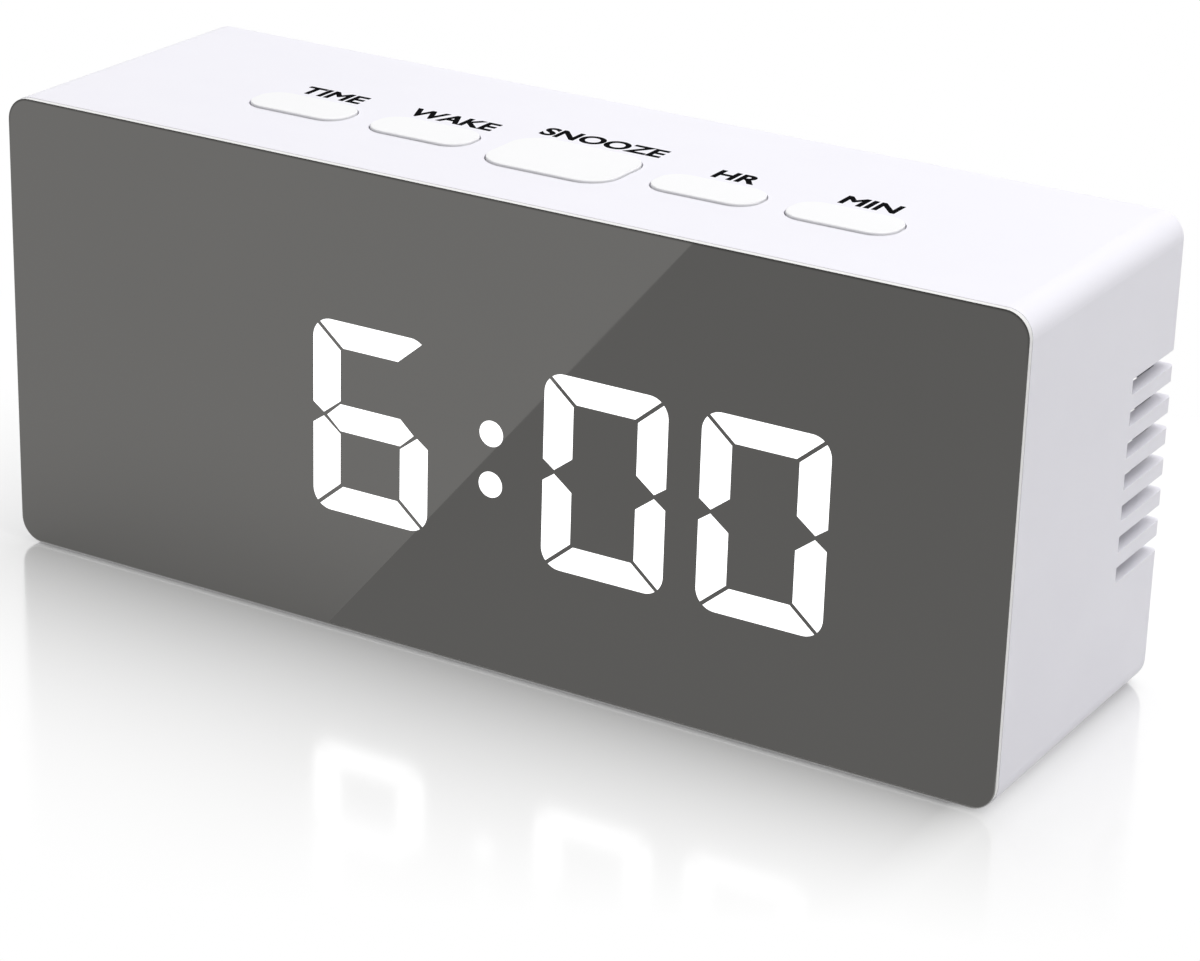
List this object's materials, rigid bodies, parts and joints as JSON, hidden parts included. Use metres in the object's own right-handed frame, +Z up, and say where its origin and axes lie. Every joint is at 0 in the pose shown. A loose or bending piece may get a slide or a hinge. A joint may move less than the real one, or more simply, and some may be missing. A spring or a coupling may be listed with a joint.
{
  "type": "digital alarm clock",
  "caption": "Free-standing box-shaped digital alarm clock with a smoked mirror front, a lit segment display, push buttons on top, corner vents and a battery hatch.",
  "frame": {"origin": "on the table, below the middle of the clock", "axes": "+X to the right as seen from the front, the mirror faces -Y, +Z up"},
  "size_m": [0.14, 0.043, 0.0605],
  "materials": {
    "white_shell": "fine moulded satin",
    "button_white": "smooth satin",
    "smoked_mirror": "dark half mirror",
    "tape": "foam tape",
    "black_plastic": "moulded black",
    "reflector_white": "white light box",
    "display_light": "translucent white, lit",
    "lamp": "clear resin",
    "circuit_board": "green solder mask",
    "metal_can": "plain can",
    "capacitor_sleeve": "shrunk sleeve",
    "sensor_resin": "dipped resin",
    "steel": "zinc plated",
    "contact_nickel": "nickel plated",
    "cell_can": "printed can",
    "lead_red": "insulated wire",
    "lead_black": "insulated wire",
    "foot_rubber": "soft pad"
  },
  "bodies": {
    "case": {"housing": "white_shell", "mirror_panel": "smoked_mirror", "mirror_tape": "tape", "front_frame": "black_plastic", "driver_chip": "black_plastic", "buzzer": "black_plastic", "key_header": "black_plastic", "key_switches": "black_plastic", "usb_tongue": "black_plastic", "display_reflector": "reflector_white", "segment_diffusers": "display_light", "led_chips": "lamp", "main_board": "circuit_board", "key_board": "circuit_board", "power_board": "circuit_board", "clock_crystal": "metal_can", "filter_capacitor": "capacitor_sleeve", "temperature_sensor": "sensor_resin", "case_screws": "steel", "board_screws": "steel", "key_screws": "steel", "power_screws": "steel", "battery_plates": "contact_nickel", "battery_springs": "contact_nickel", "usb_shell": "contact_nickel", "cell_top": "cell_can", "cell_middle": "cell_can", "cell_bottom": "cell_can", "battery_leads": "lead_red", "power_leads": "lead_black", "feet": "foot_rubber"},
    "button_time": {"cap_time": "button_white", "plunger_time": "black_plastic"},
    "button_wake": {"cap_wake": "button_white", "plunger_wake": "black_plastic"},
    "button_snooze": {"cap_snooze": "button_white", "plunger_snooze": "black_plastic"},
    "button_hour": {"cap_hour": "button_white", "plunger_hour": "black_plastic"},
    "button_minute": {"cap_minute": "button_white", "plunger_minute": "black_plastic"},
    "door": {"battery_door": "white_shell"}
  },
  "joints": [
    {"name": "press_time", "type": "slide", "parent": "case", "child": "button_time", "axis": [0, 0, -1], "range_m": [0, 0.0003], "stiffness_N_per_m": 500},
    {"name": "press_wake", "type": "slide", "parent": "case", "child": "button_wake", "axis": [0, 0, -1], "range_m": [0, 0.0003], "stiffness_N_per_m": 500},
    {"name": "press_snooze", "type": "slide", "parent": "case", "child": "button_snooze", "axis": [0, 0, -1], "range_m": [0, 0.0003], "stiffness_N_per_m": 500},
    {"name": "press_hour", "type": "slide", "parent": "case", "child": "button_hour", "axis": [0, 0, -1], "range_m": [0, 0.0003], "stiffness_N_per_m": 500},
    {"name": "press_minute", "type": "slide", "parent": "case", "child": "button_minute", "axis": [0, 0, -1], "range_m": [0, 0.0003], "stiffness_N_per_m": 500},
    {"name": "door_swing", "type": "hinge", "parent": "case", "child": "door", "pos_m": [0, 0.02065, 0.00725], "axis": [-1, 0, 0], "range_deg": [0, 90]}
  ]
}
